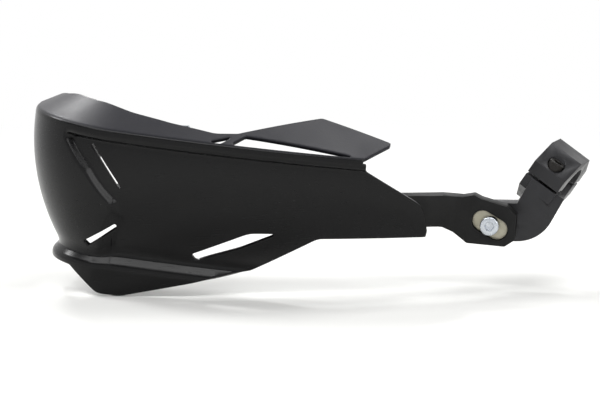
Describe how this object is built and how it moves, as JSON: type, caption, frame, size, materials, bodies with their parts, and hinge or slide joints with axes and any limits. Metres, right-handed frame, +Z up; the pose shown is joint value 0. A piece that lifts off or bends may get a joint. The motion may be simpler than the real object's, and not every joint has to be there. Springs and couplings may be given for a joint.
{
  "type": "motorcycle hand guard",
  "caption": "Wrap-around motorcycle hand guard: moulded shield with hood, wing and vent on a ribbed core bar, held by a handlebar clamp and a bar-end expander.",
  "frame": {"origin": "centre of the handlebar's outer end face, where the spacer meets the bar end", "axes": "+X along the grip towards the middle of the bike, +Y to the rider, +Z up; the shield faces -Y"},
  "size_m": [0.3424, 0.1374, 0.1243],
  "materials": {
    "shield_plastic": "gloss black moulding, satin on the hood and the wing",
    "bar_nylon": "matte black glass-filled nylon",
    "raw_aluminium": "plain, fine machined",
    "zinc_steel": "bright zinc plated",
    "black_anodised": "black anodised, satin",
    "black_steel": "black oxide"
  },
  "bodies": {
    "root": {"shield": "shield_plastic", "core_bar": "bar_nylon", "slot_washer": "raw_aluminium", "pivot_bolt": "zinc_steel", "clamp_body": "black_anodised", "clamp_cap": "black_anodised", "clamp_bolts": "black_steel", "shield_screws": "zinc_steel", "end_bolt": "zinc_steel", "end_washer": "zinc_steel", "end_bush": "raw_aluminium", "end_spacer": "black_anodised", "expander_sleeve": "raw_aluminium", "expander_cone": "zinc_steel"}
  },
  "joints": []
}
